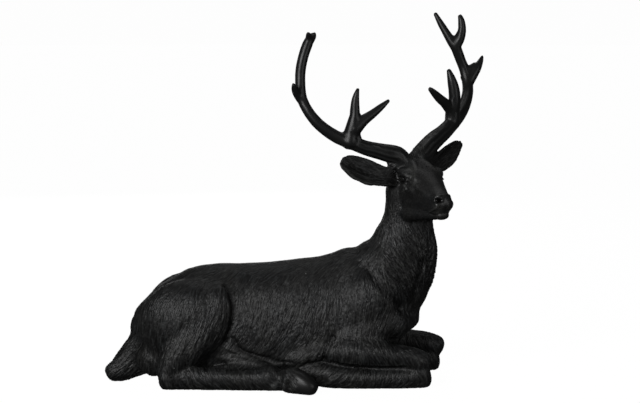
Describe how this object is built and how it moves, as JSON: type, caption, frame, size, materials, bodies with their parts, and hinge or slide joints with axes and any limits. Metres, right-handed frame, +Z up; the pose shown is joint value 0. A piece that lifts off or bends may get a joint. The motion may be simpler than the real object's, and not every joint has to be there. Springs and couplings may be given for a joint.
{
  "type": "lying stag statue",
  "caption": "Cast iron garden statue of a stag lying on its folded legs, head turned to its right, with branched antlers",
  "frame": {"origin": "the middle of the underside, on the surface that the statue rests on", "axes": "+X is where the stag's body points, +Y is its left and +Z is up; the head is turned towards -Y"},
  "size_m": [0.7334, 0.3434, 0.6952],
  "materials": {
    "black_iron": "satin black painted cast iron with a carved coat of hair, smoother on the antlers"
  },
  "bodies": {
    "root": {"stag": "black_iron"}
  },
  "joints": []
}
